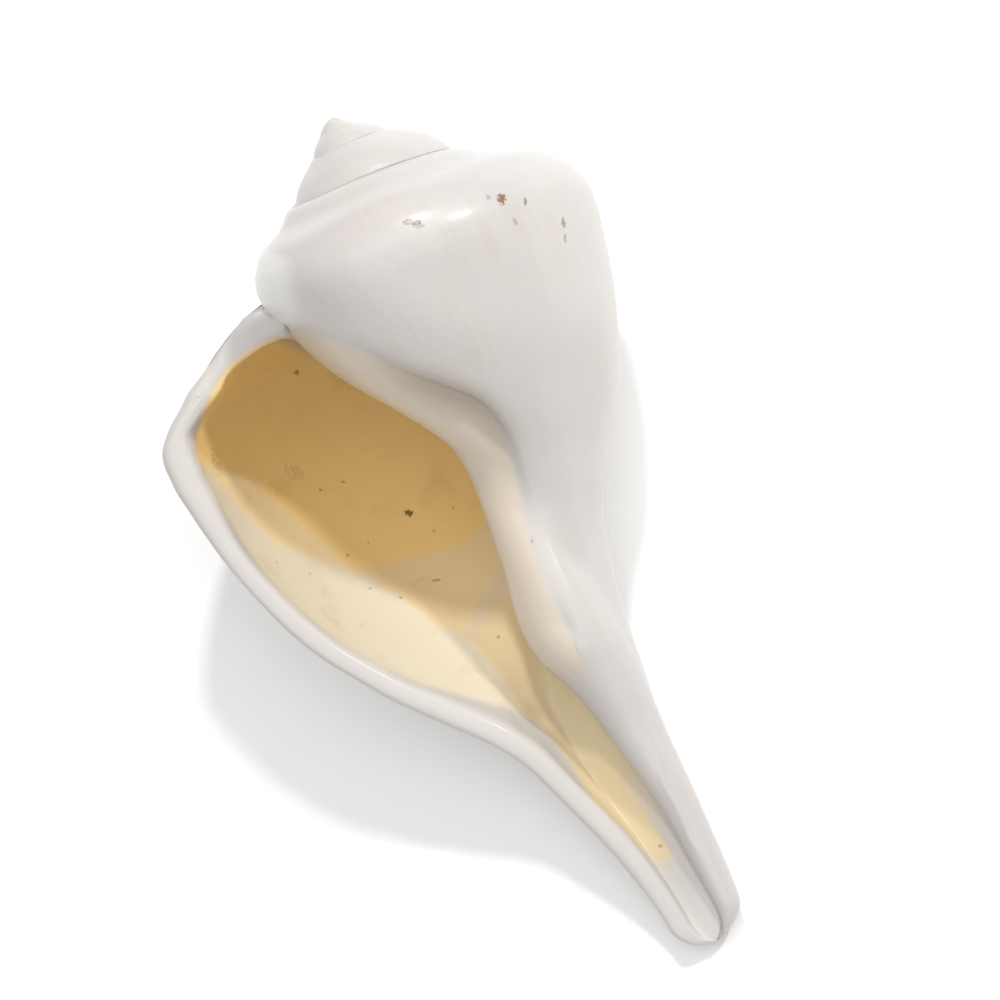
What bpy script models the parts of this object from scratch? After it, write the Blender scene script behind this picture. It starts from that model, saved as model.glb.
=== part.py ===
"""Left-handed whelk shell, sold as a conch: one solid, lying on its back with the opening upwards.

The shell is a log spiral. TURNS counts whorls back from the lip, so turn 0 is the lip, turn 1
is the inner edge of the opening, and the top of the spire is past turn 3. At any turn the
cross-section is the lip's outline, shrunk by GROWTH to the power of minus that turn.
DEPTH is the distance below the top of the spire, along the shell's own axis.
"""

import math

import bpy
import numpy as np
from mathutils import Matrix

MM = 0.001

# Size along the shell's own axis, and how it grows
LENGTH = 151.8
GROWTH = 2.1
SPIRE_TURNS = 3.6
SUTURE_DEPTH = 22.4

# Outline of the last whorl as (radius, depth), from the suture over the shoulder to the canal
OUTLINE = [(23.2, 22.4), (29.6, 24.9), (38.8, 30.0), (45.6, 35.4), (48.5, 41.5), (48.5, 47.5),
           (46.5, 56.0), (42.6, 68.5), (38.4, 78.3), (32.8, 88.0), (25.9, 97.7), (19.3, 107.5),
           (14.2, 117.3), (9.8, 132.0), (6.5, 143.0), (2.0, 160.0)]
RAMP_SLOPE = 2.6

# The lip flares out a little in its last sixth of a turn, as shares of the radius: each
# (share, depth where it starts, over how many mm it comes in) is added to the one before
FLARE_TURNS = 0.16
FLARE = [(0.065, 22.4, 6), (-0.035, 36, 8), (0.07, 45, 15), (0.07, 75, 30)]

# The spire's whorls are worn flat: the share of the way to a straight cone, and the lean of
# its top towards the right
WORN = 0.6
WORN_FROM, WORN_OVER = 0.8, 0.9
LEAN = 0.8
LEAN_FROM = 20.0

# The canal and its pillar, as (depth, distance from the axis): lip side, right side, inner edge
CANAL_LIP = [(60, 18.0), (90, 24.0), (103, 23.2), (110, 20.6), (117, 18.4), (127, 14.8),
             (133, 13.0), (143, 10.8), (152, 9.6)]
PILLAR_RIGHT = [(0, 2.0), (60, 4.6), (90, 4.6), (103, 4.0), (116, 3.4), (133, 3.3), (152, 2.6)]
PILLAR_INNER = [(0, 0.8), (20, 2.0), (50, 5.0), (68, 7.0), (79, 8.8), (89, 10.6), (97, 10.4),
                (104, 7.8), (116, 5.2), (128, 2.9), (145, 1.0), (152, 0.6)]
JOIN = 2.5
CANAL_BEND = 3.3
BEND_FROM = 70.0
BEND_OVER = 80.0

# The canal's rounded tip, which draws in to TIP_CENTRE (x, y)
TIP_ROUND_FROM = 146.5
TIP_CENTRE = (-3.6, 1.0)

# Thickness of the wall as (depth, thickness), at the lip. Further in it thins by WALL_THIN, and
# towards the suture it fades to nothing, as two whorls meet there. STEEPEST is the most that
# the outline's slant may thicken it along the radius
WALL = [(20, 4.0), (35, 5.4), (60, 5.2), (85, 4.6), (105, 4.0), (125, 4.0), (152, 3.6)]
WALL_THIN = 0.3
WALL_THIN_BY = 0.25
WALL_FADE = 7.0
MOST_WALL = 0.22
STEEPEST = 3

# The cavity: its top and bottom, as depths in the last whorl, and how far back it winds
CAVITY_TOP = 28.8
CORNER_TURNS = 0.02
CAVITY_LOW = [(0.0, 151.8), (0.02, 151.0), (0.045, 146.0), (0.065, 134.0), (0.085, 118.0),
              (0.11, 107.0), (0.15, 98.0), (0.20, 92.0), (0.27, 86.0), (0.36, 80.0), (0.5, 73.0)]
CAVITY_TURNS = 1.1

# How square the cavity's cross-section is, behind the lip and how much more so at the lip, and
# the least gap between its two walls
SQUARENESS, SQUARER_AT_LIP, SQUARE_TURNS = 6, 60, 0.05
LEAST_GAP, GAP_TURNS = 0.1, 0.01

# The dome over the top of the spire: its height, and its rings as (share of the width, of the height)
APEX_DOME = 1.6
APEX_RINGS = [(0.72, 0.5), (0.38, 0.85)]

# Resting attitude: a turn about the shell's axis, then a tip over backwards. Its back is worn flat
# by this much where it lies
ROLL_DEG = 8.7
TIP_DEG = -71.3
WORN_FLAT = 0.4

# Faces. Below LEVEL_FROM the rows stay level round the canal, rather than follow the spiral, and
# behind the lip the cavity's rows crowd towards its top and bottom by CROWDING
COLUMNS_PER_TURN = 36
RAMP_ROWS, BODY_ROWS, TIP_ROWS = 8, 18, 4
LIP_STEPS = np.array([0.0, 0.06, 0.25, 0.6, 1.0])
LEAST_EDGE, MOST_EDGE = 0.004, 0.05
LEVEL_FROM = 50.0
CANAL_STEP, CANAL_STEPS = 0.0125, 12
CAVITY_STEP = 1 / 30
CROWDING, CROWDING_TURNS = 0.75, 0.08


def ease(x):
    """0 below 0, 1 above 1, and a smooth S between."""
    x = np.clip(x, 0, 1)
    return x * x * (3 - 2 * x)


def smooth_curve(points, steps=40):
    """A Catmull-Rom curve through the points, as a dense run of points."""
    p = np.array(points, float)
    p = np.vstack([2 * p[0] - p[1], p, 2 * p[-1] - p[-2]])
    t = np.linspace(0, 1, steps, endpoint=False)[:, None]
    runs = []
    for a, b, c, d in zip(p[:-3], p[1:-2], p[2:-1], p[3:]):
        linear, square, cube = c - a, 2 * a - 5 * b + 4 * c - d, 3 * b - a - 3 * c + d
        runs.append(0.5 * (2 * b + linear * t + square * t**2 + cube * t**3))
    return np.vstack([*runs, p[-2:-1]])


def reader(points):
    """A function that reads the smooth curve through (x, y) points at any x."""
    x, y = smooth_curve(points).T
    return lambda at: np.interp(at, x, y)


outline_radius = reader([(depth, radius) for radius, depth in OUTLINE])
canal_lip, pillar_right, pillar_inner = reader(CANAL_LIP), reader(PILLAR_RIGHT), reader(PILLAR_INNER)
wall, cavity_low = reader(WALL), reader(CAVITY_LOW)


def shrink(turns):
    return GROWTH**-turns


def smooth_max(a, b):
    """The larger of two radii, with a fillet where they cross."""
    near = np.clip(1 - np.abs(a - b) / JOIN, 0, 1)
    return np.maximum(a, b) + near**2 * JOIN / 4


def whorl_radius(turns, depth):
    """The log spiral: the lip's outline, shrunk, with the flare near the lip."""
    at = depth / shrink(turns)
    inwards = OUTLINE[0][0] + (at - SUTURE_DEPTH) * RAMP_SLOPE
    radius = np.where(at < SUTURE_DEPTH, inwards, outline_radius(at))
    flare = sum(share * ease((at - start) / over) for share, start, over in FLARE)
    covered = SUTURE_DEPTH * GROWTH
    across = (at - SUTURE_DEPTH) / (covered - SUTURE_DEPTH)
    cone = OUTLINE[0][0] + (outline_radius(covered) - OUTLINE[0][0]) * across
    worn = WORN * ease((turns - WORN_FROM) / WORN_OVER) * (across < 1)
    radius = radius + (cone - radius) * worn
    return shrink(turns) * radius * (1 + flare * np.exp(-((turns / FLARE_TURNS) ** 2)))


def canal_radius(turns, depth):
    """The canal: a circle from the lip round the back to the right, then the pillar's front."""
    lip, right = canal_lip(depth), pillar_right(depth)
    angle = 2 * math.pi * np.clip(turns, 0, 0.5)
    off, round_radius = (lip - right) / 2, (lip + right) / 2
    back = np.maximum(round_radius**2 - (off * np.sin(angle)) ** 2, 0)
    behind = off * np.cos(angle) + np.sqrt(back)
    front = right + (pillar_inner(depth) - right) * ease((turns - 0.5) / 0.5)
    return np.where(turns <= 0.5, behind, front)


def outer_radius(turns, depth):
    return smooth_max(whorl_radius(turns, depth), canal_radius(turns, depth))


def wall_offset(turns, depth, reach=0.3):
    """Half of the wall's thickness, measured along the radius."""
    rise = (outer_radius(turns, depth + reach) - outer_radius(turns, depth - reach)) / (2 * reach)
    slant = np.sqrt(1 + np.clip(rise, -STEEPEST, STEEPEST) ** 2)
    at = depth / shrink(turns)
    thin = 1 - WALL_THIN * ease(turns / WALL_THIN_BY)
    half = 0.5 * wall(at) * thin * shrink(turns) * ease((at - SUTURE_DEPTH) / WALL_FADE) * slant
    return np.minimum(half, MOST_WALL * outer_radius(turns, depth))


def place(turns, radius, depth):
    """Points in space, with the axis upright, the opening facing -Y and the lip on the left."""
    angle = 2 * math.pi * turns
    past = np.clip(depth - TIP_ROUND_FROM, 0, None) / (LENGTH - TIP_ROUND_FROM)
    narrow = np.sqrt(np.clip(1 - past**2, 0, 1))
    x = TIP_CENTRE[0] + (-radius * np.cos(angle) - TIP_CENTRE[0]) * narrow
    y = TIP_CENTRE[1] + (radius * np.sin(angle) - TIP_CENTRE[1]) * narrow
    bend = CANAL_BEND * (np.clip(depth - BEND_FROM, 0, None) / BEND_OVER) ** 2
    lean = LEAN * ease((LEAN_FROM - depth) / LEAN_FROM)
    return np.stack([x - bend + lean, y, -depth], -1)


def row_depths():
    """Depths of the grid's rows at the lip, and the row that the next whorl's suture covers."""
    covered = SUTURE_DEPTH * GROWTH
    ramp = np.linspace(SUTURE_DEPTH, covered, RAMP_ROWS + 1)[:-1]
    body = np.linspace(covered, TIP_ROUND_FROM, BODY_ROWS + 1)[:-1]
    quarter = np.sin(np.linspace(0, math.pi / 2, TIP_ROWS + 1))
    return np.concatenate([ramp, body, TIP_ROUND_FROM + (LENGTH - TIP_ROUND_FROM) * quarter])


def lip_width(depth):
    """The share of a turn that the lip's rounded edge takes."""
    edge = wall_offset(0.0, depth) / outer_radius(0.0, depth) / (2 * math.pi)
    return np.clip(edge, LEAST_EDGE, MOST_EDGE)


def grid_turns(steps, depth):
    """Turns at each grid point: LIP_STEPS over the rounded lip, then the given steps."""
    width = lip_width(depth)
    over_lip = LIP_STEPS[:, None] * width
    return np.vstack([over_lip, width + (1 - width) * steps[:, None]])


def quarter_round(x):
    """The height of a quarter circle: 0 at 0, rising steeply, and 1 from 1 on."""
    return np.sqrt(1 - (1 - np.clip(x, 0, 1)) ** 2)


class Surface:
    """Points and faces that are collected grid by grid."""

    def __init__(self):
        self.points, self.faces, self.count = [], [], 0

    def add(self, points):
        """Keeps a grid of points and gives the same grid of their numbers."""
        shape = points.shape[:-1]
        self.points.append(points.reshape(-1, 3))
        numbers = np.arange(self.count, self.count + len(self.points[-1]))
        self.count += len(numbers)
        return numbers.reshape(shape)

    def skin(self, grid):
        """Two triangles for each cell of a grid of point numbers."""
        a, b, c, d = grid[:-1, :-1], grid[1:, :-1], grid[1:, 1:], grid[:-1, 1:]
        for triangle in ((a, b, c), (a, c, d)):
            self.faces.append(np.stack(triangle, -1).reshape(-1, 3))

    def fan(self, ring, centre):
        """Triangles from a ring of point numbers to one more point."""
        middle = self.add(centre[None])[0]
        self.faces.append(np.stack([ring, np.roll(ring, -1), np.full_like(ring, middle)], -1))

    def at(self, numbers):
        return np.vstack(self.points)[numbers]


def suture_points(turns):
    """The suture lies on the whorl below it, one turn further back."""
    depth = SUTURE_DEPTH * shrink(turns)
    return place(turns + 1, outer_radius(turns + 1, depth), depth)


def last_whorl(surface, rows):
    """The outside from the lip once round to the inner edge of the opening."""
    turns = grid_turns(np.arange(1, COLUMNS_PER_TURN + 1) / COLUMNS_PER_TURN, rows)
    stretch = ease((rows - LEVEL_FROM) / (LENGTH - LEVEL_FROM))
    depth = rows * (shrink(turns) * (1 - stretch) + stretch)
    rounding = 1 - quarter_round(turns / lip_width(rows))
    radius = outer_radius(turns, depth) - wall_offset(turns, depth) * rounding
    radius[-1] = outer_radius(turns[-1], depth[-1])
    points = place(turns, radius, depth)
    points[:, 0] = suture_points(turns[:, 0])
    grid = np.zeros(turns.shape, int)
    grid[:, :-1] = surface.add(points[:, :-1])
    grid[:, -1] = surface.add(points[0, -1:])[0]
    grid[0, 0] = grid[-1, RAMP_ROWS]
    surface.skin(grid)
    return grid, turns[:, 0], depth[-1]


def spire(surface, rows, last, suture_turns):
    """The earlier whorls, whose lower edge is the suture of the whorl that covers them."""
    steps = suture_turns[1:]
    upper, column, whorl = last[:, 0], last[-1, : RAMP_ROWS + 1], 1
    while True:
        columns = min(len(steps), round((SPIRE_TURNS - whorl) * len(steps)))
        turns = whorl + steps[:columns, None] * np.ones(RAMP_ROWS + 1)
        depth = rows[: RAMP_ROWS + 1] * shrink(turns)
        points = place(turns, outer_radius(turns, depth), depth)
        points[:, 0] = suture_points(turns[:, 0])
        grid = np.zeros((columns + 1, RAMP_ROWS + 1), int)
        grid[0] = column
        grid[1:, :-1] = surface.add(points[:, :-1])
        grid[1:, -1] = upper[1 : columns + 1]
        surface.skin(grid)
        above = upper[columns:]
        upper, column = grid[:, 0], grid[-1]
        if columns < len(steps):
            return np.concatenate([above, upper[1:], column[1:-1]])
        whorl += 1


def close_apex(surface, ring):
    """A low dome over the top of the spire."""
    edge = surface.at(ring)
    centre = edge.mean(0)
    top = centre + np.array([0, 0, APEX_DOME])
    for share, height in APEX_RINGS:
        inner = centre + (edge - centre) * share
        inner[:, 2] += APEX_DOME * height
        numbers = surface.add(inner)
        band = np.stack([ring, numbers])
        surface.skin(np.hstack([band, band[:, :1]]))
        ring = numbers
    surface.fan(ring[::-1], top)


def cavity_side(rows_share, far):
    """The cavity's outer wall, or its inner wall against the whorl before.

    Each cross-section runs from the cavity's top to its bottom. Its two walls stand either
    side of their middle line, and both draw in to it at the ends, which rounds them.
    """
    canal = np.arange(1, CANAL_STEPS + 1) * CANAL_STEP
    body = np.arange(canal[-1] + CAVITY_STEP, CAVITY_TURNS, CAVITY_STEP)
    lip_depth = SUTURE_DEPTH + (LENGTH - SUTURE_DEPTH) * rows_share
    turns = grid_turns(np.concatenate([canal, body]), lip_depth)
    scale = shrink(turns)
    low = np.where(turns <= 0.5, cavity_low(turns), CAVITY_LOW[-1][1] * shrink(turns - 0.5))
    drop = (CAVITY_TOP - SUTURE_DEPTH) * quarter_round(turns / CORNER_TURNS)
    top = (SUTURE_DEPTH + drop) * scale
    evenly = 0.5 * (1 - np.cos(math.pi * np.linspace(0, 1, len(rows_share))))
    share = rows_share + (evenly - rows_share) * CROWDING * ease(turns / CROWDING_TURNS)
    depth = top + (low - top) * share
    squareness = SQUARENESS + SQUARER_AT_LIP * (1 - ease(turns / SQUARE_TURNS))
    full = np.sqrt(np.clip(1 - np.abs(2 * share - 1) ** squareness, 0, 1))
    rounding = 1 + quarter_round(turns / lip_width(lip_depth))
    outside = outer_radius(turns, depth) - wall_offset(turns, depth) * rounding
    inside = outer_radius(turns + 1, depth)
    gap = np.maximum(outside - inside, LEAST_GAP * ease(turns / GAP_TURNS))
    side = 1 if far else -1
    return place(turns, (outside + inside) / 2 + side * gap / 2 * full, depth)


def cavity(surface, rows, last, inner_depth):
    """The inside, from the opening back to a closed end out of sight."""
    outer_share = (rows - SUTURE_DEPTH) / (LENGTH - SUTURE_DEPTH)
    edge = inner_depth[RAMP_ROWS:]
    inner_share = (edge - edge[0]) / (edge[-1] - edge[0])
    outer_points = cavity_side(outer_share, True)
    inner_points = cavity_side(inner_share, False)
    outer = np.vstack([last[0], surface.add(outer_points[1:])])
    inner = np.zeros(inner_points.shape[:2], int)
    inner[0] = last[-1, RAMP_ROWS:]
    inner[1:, 1:-1] = surface.add(inner_points[1:, 1:-1])
    inner[:, 0] = outer[:, 0]
    inner[:, -1] = outer[:, -1]
    surface.skin(outer[::-1])
    surface.skin(inner)
    ring = np.concatenate([outer[-1], inner[-1, -2:0:-1]])
    surface.fan(ring, surface.at(ring).mean(0))


def shell_solid():
    """The closed solid, as points in millimetres about its own axis, and triangles."""
    surface, rows = Surface(), row_depths()
    last, suture_turns, inner_depth = last_whorl(surface, rows)
    close_apex(surface, spire(surface, rows, last, suture_turns))
    cavity(surface, rows, last, inner_depth)
    faces = np.vstack(surface.faces)
    flat = (faces == np.roll(faces, 1, axis=1)).any(axis=1)
    return np.vstack(surface.points), faces[~flat]


def shell_material():
    """Glossy white shell."""
    material = bpy.data.materials.new("shell_white")
    material.use_nodes = True
    shader = material.node_tree.nodes["Principled BSDF"]
    shader.inputs["Base Color"].default_value = (0.80, 0.77, 0.74, 1)
    shader.inputs["Roughness"].default_value = 0.3
    shader.inputs["Metallic"].default_value = 0.0
    return material


def make_shell(collection):
    """The shell at its real size, laid on its back, centred on the origin and resting at z = 0."""
    points, faces = shell_solid()
    mesh = bpy.data.meshes.new("shell")
    mesh.from_pydata((points * MM).tolist(), [], faces.tolist())
    lay = Matrix.Rotation(math.radians(TIP_DEG), 4, "X") @ Matrix.Rotation(math.radians(ROLL_DEG), 4, "Z")
    mesh.transform(lay)
    corners = np.array([vertex.co for vertex in mesh.vertices])
    corners[:, 2] = np.maximum(corners[:, 2], corners[:, 2].min() + WORN_FLAT * MM)
    mesh.vertices.foreach_set("co", corners.reshape(-1).astype(np.float32))
    middle = (corners.min(0) + corners.max(0)) / 2
    mesh.transform(Matrix.Translation((-middle[0], -middle[1], -corners[:, 2].min())))
    mesh.shade_smooth()
    mesh.materials.append(shell_material())
    shell = bpy.data.objects.new("shell", mesh)
    collection.objects.link(shell)
    return shell


def main():
    for obj in list(bpy.data.objects):
        bpy.data.objects.remove(obj)
    collection = bpy.data.collections.new("conch_shell")
    bpy.context.scene.collection.children.link(collection)
    shell = make_shell(collection)
    size = [round(side / MM, 1) for side in shell.dimensions]
    print("shell", len(shell.data.polygons), "triangles, size in mm", size)


main()
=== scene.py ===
# %% [markdown]
# # A left-handed whelk shell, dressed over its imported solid
#
# The object is one natural piece: a big sea snail's shell, sold as a conch. It coils to the left,
# so its opening lies on the left of its body when the spire points up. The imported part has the
# right form at a few thousand triangles. This script makes it again at a grain of less than a
# millimetre, adds the relief that a hand would feel, and gives it the finish of worn, glossy
# shell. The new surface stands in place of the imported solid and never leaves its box.

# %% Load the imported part
import math

import bpy
import numpy as np
from mathutils import Matrix, Vector


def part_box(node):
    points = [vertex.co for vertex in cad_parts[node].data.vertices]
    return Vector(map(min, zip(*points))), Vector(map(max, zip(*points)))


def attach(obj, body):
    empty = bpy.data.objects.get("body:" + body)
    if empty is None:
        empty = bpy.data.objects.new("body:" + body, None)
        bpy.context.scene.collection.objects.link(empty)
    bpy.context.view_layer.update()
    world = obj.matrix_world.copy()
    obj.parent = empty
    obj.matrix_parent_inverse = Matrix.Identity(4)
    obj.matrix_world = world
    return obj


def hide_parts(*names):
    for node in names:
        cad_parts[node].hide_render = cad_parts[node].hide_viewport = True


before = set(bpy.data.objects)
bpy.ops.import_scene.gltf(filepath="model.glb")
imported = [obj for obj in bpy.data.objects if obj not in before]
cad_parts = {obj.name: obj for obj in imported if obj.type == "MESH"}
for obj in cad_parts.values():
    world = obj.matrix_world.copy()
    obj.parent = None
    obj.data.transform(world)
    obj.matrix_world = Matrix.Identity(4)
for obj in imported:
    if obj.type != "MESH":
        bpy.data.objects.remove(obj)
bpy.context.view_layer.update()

cad_low, cad_high = (np.array(corner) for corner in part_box("shell"))
print("packed shell, in mm:", np.round((cad_high - cad_low) * 1000, 1))

# %% [markdown]
# ## Two frames
#
# A spiral is easiest to write down with its axis upright. So the shell is worked out in its own
# frame, in millimetres: the top of the spire at the origin, the axis down along -Z, the opening
# facing -Y and the lip on the left, at -X. One turn and one tip then lay it on its back, as the
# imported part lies.

# %% The shell's own frame and the way that it lies
MM = 0.001
ROLL = math.radians(8.7)
TIP = math.radians(-71.3)
LAID = np.array(Matrix.Rotation(TIP, 3, "X") @ Matrix.Rotation(ROLL, 3, "Z"))


def lay_down(points):
    """Millimetres in the shell's own frame to metres, turned as the shell lies."""
    return points @ LAID.T * MM


# %% [markdown]
# ## Curves from a few points
#
# A shell's outline has no straight line or true arc in it. Each part of it is given by a few
# measured points with a Catmull-Rom curve through them, which is read at any place by linear
# interpolation on a dense run of points.

# %% Smooth steps and smooth curves
def ease(x):
    """0 below 0, 1 above 1, and a smooth S between."""
    x = np.clip(x, 0, 1)
    return x * x * (3 - 2 * x)


def bump(x):
    """A smooth hump: 1 at 0, falling to 0 at -1 and 1."""
    return ease(1 - np.abs(x))


def quarter_round(x, power=2.0):
    """A quarter circle's height, 0 at 0 and 1 from 1 on. A higher power makes it squarer."""
    return (1 - (1 - np.clip(x, 0, 1)) ** power) ** (1 / power)


def smooth_curve(points, steps=40):
    """A Catmull-Rom curve: between two points, a cubic whose ends point along their neighbours."""
    p = np.array(points, float)
    p = np.vstack([2 * p[0] - p[1], p, 2 * p[-1] - p[-2]])
    t = np.linspace(0, 1, steps, endpoint=False)[:, None]
    runs = []
    for a, b, c, d in zip(p[:-3], p[1:-2], p[2:-1], p[3:]):
        linear, square, cube = c - a, 2 * a - 5 * b + 4 * c - d, 3 * b - a - 3 * c + d
        runs.append(0.5 * (2 * b + linear * t + square * t**2 + cube * t**3))
    return np.vstack([*runs, p[-2:-1]])


def reader(points):
    """A function that reads the smooth curve through (x, y) points at any x."""
    x, y = smooth_curve(points).T
    return lambda at: np.interp(at, x, y)


# %% [markdown]
# ## The growing spiral
#
# A snail adds to its shell only at the lip, and each new whorl is the one before made larger. So
# one cross-section gives the whole shell: TURNS counts whorls back from the lip, and the section
# at any turn is the lip's outline shrunk by GROWTH to the power of minus that turn. DEPTH is
# measured down the axis from the top of the spire. The long canal doesn't grow like that. It is
# a tube about the pillar, given by its own distances from the axis, and a fillet joins the two.

# %% Driving sizes of the shell, in millimetres
LENGTH = 151.8
GROWTH = 2.1
SPIRE_TURNS = 3.6
SUTURE_DEPTH = 22.4
COVERED = SUTURE_DEPTH * GROWTH
OUTLINE = [(23.2, 22.4), (29.6, 24.9), (38.8, 30.0), (45.6, 35.4), (48.5, 41.5), (48.5, 47.5),
           (46.5, 56.0), (42.6, 68.5), (38.4, 78.3), (32.8, 88.0), (25.9, 97.7), (19.3, 107.5),
           (14.2, 117.3), (9.8, 132.0), (6.5, 143.0), (2.0, 160.0)]
RAMP_SLOPE = 2.6

# The lip flares out in its last sixth of a turn, as (depth, share of the radius)
FLARE_TURNS = 0.16
FLARE = [(18, 0), (20, 0.03), (22.4, 0.085), (24.4, 0.131), (26.4, 0.15), (28.8, 0.116),
         (31.5, 0.065), (34, 0.081), (36, 0.085), (38, 0.076), (41.8, 0.054), (46.8, 0.047),
         (51.7, 0.058), (56.9, 0.077), (62.1, 0.092), (67.6, 0.103), (73.3, 0.117), (79.5, 0.134),
         (86.5, 0.15), (93.5, 0.18), (105, 0.19), (160, 0.19)]

# The spire is worn towards a plain cone, and its top leans to the right
WORN = 0.6
WORN_FROM, WORN_OVER = 0.8, 0.9
LEAN = 0.8
LEAN_FROM = 20.0

# The canal and its pillar, as (depth, distance from the axis)
CANAL_LIP = [(60, 18.0), (90, 24.0), (103, 23.2), (110, 20.6), (117, 18.4), (127, 14.8),
             (133, 13.0), (143, 10.8), (152, 9.6)]
PILLAR_RIGHT = [(0, 2.0), (60, 4.6), (90, 4.6), (103, 4.0), (116, 3.4), (133, 3.3), (152, 2.6)]
PILLAR_INNER = [(0, 0.8), (20, 2.0), (50, 5.0), (68, 7.0), (79, 8.8), (89, 10.6), (97, 10.4),
                (104, 7.8), (116, 5.2), (128, 2.9), (145, 1.0), (152, 0.6)]
JOIN = 2.5
CANAL_BEND = 3.3
BEND_FROM = 70.0
BEND_OVER = 80.0
TIP_ROUND_FROM = 146.5
TIP_CENTRE = (-3.6, 1.0)

# The wall's thickness at the lip, as (depth, thickness)
WALL = [(20, 2.6), (26, 3.7), (28, 4.9), (29.5, 5.5), (31, 4.9), (33, 4.0), (35, 4.3), (36.5, 5.2),
        (38, 6.0), (41, 5.8), (46, 5.2), (55, 4.1), (64, 3.9), (74, 3.9), (84, 4.1), (92, 4.5),
        (104, 4.4), (125, 4.0), (152, 3.6)]
LIP_SQUARENESS = 2.8
WALL_THIN = 0.3
WALL_THIN_BY = 0.25
WALL_FADE = 7.0
MOST_WALL = 0.22
STEEPEST, SLANT_REACH = 3, 1.5

# The hollow: where its top and bottom run, how far back it winds, the power that rounds its ends
# and is higher at the lip, and its least width
CAVITY_TOP = 28.8
CORNER_TURNS = 0.006
CAVITY_LOW = [(0.0, 151.8), (0.02, 151.0), (0.045, 146.0), (0.065, 134.0), (0.085, 118.0),
              (0.11, 107.0), (0.15, 98.0), (0.20, 92.0), (0.27, 86.0), (0.36, 80.0), (0.5, 73.0)]
CAVITY_TURNS = 1.1
SQUARENESS, SQUARER_AT_LIP, SQUARE_TURNS = 6, 60, 0.2
LEAST_GAP, GAP_TURNS = 0.1, 0.01
print("length down the axis:", LENGTH, "mm, each whorl", GROWTH, "times the one before")

# %% The spiral's radius at any turn and depth
outline_radius = reader([(depth, radius) for radius, depth in OUTLINE])
CURVES = (CANAL_LIP, PILLAR_RIGHT, PILLAR_INNER, WALL, CAVITY_LOW, FLARE)
canal_lip, pillar_right, pillar_inner, wall, cavity_low, flare_at = map(reader, CURVES)


def shrink(turns):
    """Size of the whorl at this many turns back, as a share of the lip's."""
    return GROWTH**-turns


def whorl_radius(turns, depth):
    """The log spiral: the lip's outline, shrunk, with the flare near the lip."""
    at = depth / shrink(turns)
    inwards = OUTLINE[0][0] + (at - SUTURE_DEPTH) * RAMP_SLOPE
    radius = np.where(at < SUTURE_DEPTH, inwards, outline_radius(at))
    across = (at - SUTURE_DEPTH) / (COVERED - SUTURE_DEPTH)
    cone = OUTLINE[0][0] + (outline_radius(COVERED) - OUTLINE[0][0]) * across
    worn = WORN * ease((turns - WORN_FROM) / WORN_OVER) * (across < 1)
    flare = flare_at(at) * np.exp(-((turns / FLARE_TURNS) ** 2))
    return shrink(turns) * (radius + (cone - radius) * worn) * (1 + flare)


def canal_radius(turns, depth):
    """The canal: a circle from the lip round the back to the right, then the pillar's front."""
    lip, right = canal_lip(depth), pillar_right(depth)
    angle = 2 * math.pi * np.clip(turns, 0, 0.5)
    off, round_radius = (lip - right) / 2, (lip + right) / 2
    back = np.maximum(round_radius**2 - (off * np.sin(angle)) ** 2, 0)
    behind = off * np.cos(angle) + np.sqrt(back)
    front = right + (pillar_inner(depth) - right) * ease((turns - 0.5) / 0.5)
    return np.where(turns <= 0.5, behind, front)


def outer_radius(turns, depth):
    """The larger of whorl and canal, with a fillet where they cross."""
    a, b = whorl_radius(turns, depth), canal_radius(turns, depth)
    near = np.clip(1 - np.abs(a - b) / JOIN, 0, 1)
    return np.maximum(a, b) + near**2 * JOIN / 4


def wall_offset(turns, depth):
    """Half of the wall's thickness along the radius: thicker there where the outline slants."""
    further, nearer = (outer_radius(turns, depth + way) for way in (SLANT_REACH, -SLANT_REACH))
    rise = (further - nearer) / (2 * SLANT_REACH)
    slant = np.sqrt(1 + np.clip(rise, -STEEPEST, STEEPEST) ** 2)
    at = depth / shrink(turns)
    thin = 1 - WALL_THIN * ease(turns / WALL_THIN_BY)
    half = 0.5 * wall(at) * thin * shrink(turns) * ease((at - SUTURE_DEPTH) / WALL_FADE) * slant
    return np.minimum(half, MOST_WALL * outer_radius(turns, depth))


def on_spiral(turns, radius, depth):
    """Turn, radius and depth to a point: a circle about the axis, drawn in at the canal's tip."""
    angle = 2 * math.pi * turns
    past = np.clip(depth - TIP_ROUND_FROM, 0, None) / (LENGTH - TIP_ROUND_FROM)
    narrow = np.sqrt(np.clip(1 - past**2, 0, 1))
    x = TIP_CENTRE[0] + (-radius * np.cos(angle) - TIP_CENTRE[0]) * narrow
    y = TIP_CENTRE[1] + (radius * np.sin(angle) - TIP_CENTRE[1]) * narrow
    bend = CANAL_BEND * (np.clip(depth - BEND_FROM, 0, None) / BEND_OVER) ** 2
    lean = LEAN * ease((LEAN_FROM - depth) / LEAN_FROM)
    return np.stack([x - bend + lean, y, -depth], -1)


print("radius at the shoulder of the lip:", round(float(outer_radius(0.0, 44.0)), 1), "mm")

# %% [markdown]
# ## Grids that share their edges
#
# The shell is one closed skin, so each stretch of it is a grid of points in (turn, row), and
# neighbouring grids share the point numbers along their common edge. The finish needs to know
# where on the spiral a face is. That is stored at the corners of faces, because a point on the
# suture belongs to two whorls at once.

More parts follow.
